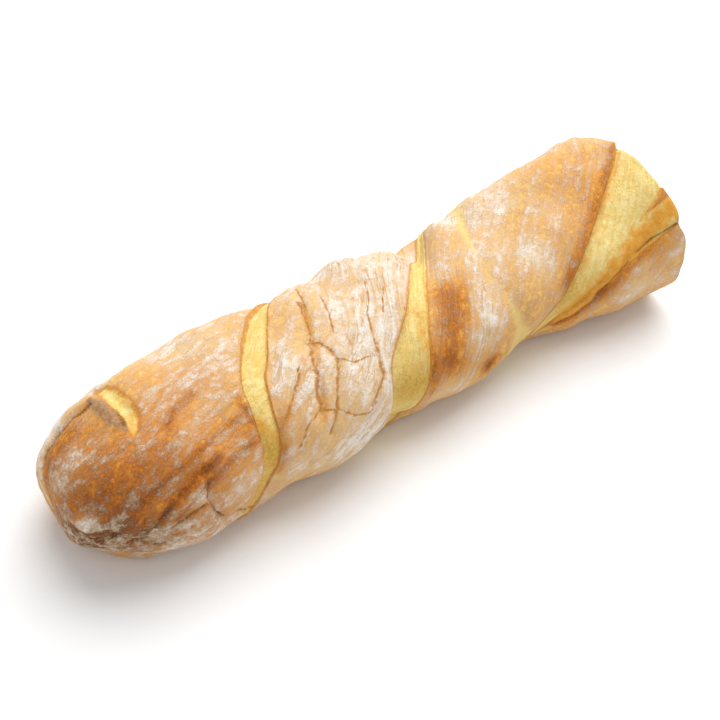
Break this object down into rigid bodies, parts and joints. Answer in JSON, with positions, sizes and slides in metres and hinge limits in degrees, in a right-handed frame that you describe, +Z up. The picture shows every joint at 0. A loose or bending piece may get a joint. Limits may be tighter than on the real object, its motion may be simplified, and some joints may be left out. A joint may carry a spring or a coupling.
{
  "type": "baguette",
  "caption": "Twisted rustic baguette dusted with flour, lying on its flat underside, with one rounded end and one end cut square to show open crumb.",
  "frame": {"origin": "on the floor, under the middle of the loaf's bounding box", "axes": "+X along the loaf from its rounded end to its cut end, -Y towards the side seen in the picture, +Z up"},
  "size_m": [0.3005, 0.0898, 0.0663],
  "materials": {
    "crust": "matt baked crust, golden to red-brown, dusted with white flour, pale yellow in its splits and crumb"
  },
  "bodies": {
    "root": {"loaf": "crust"}
  },
  "joints": []
}
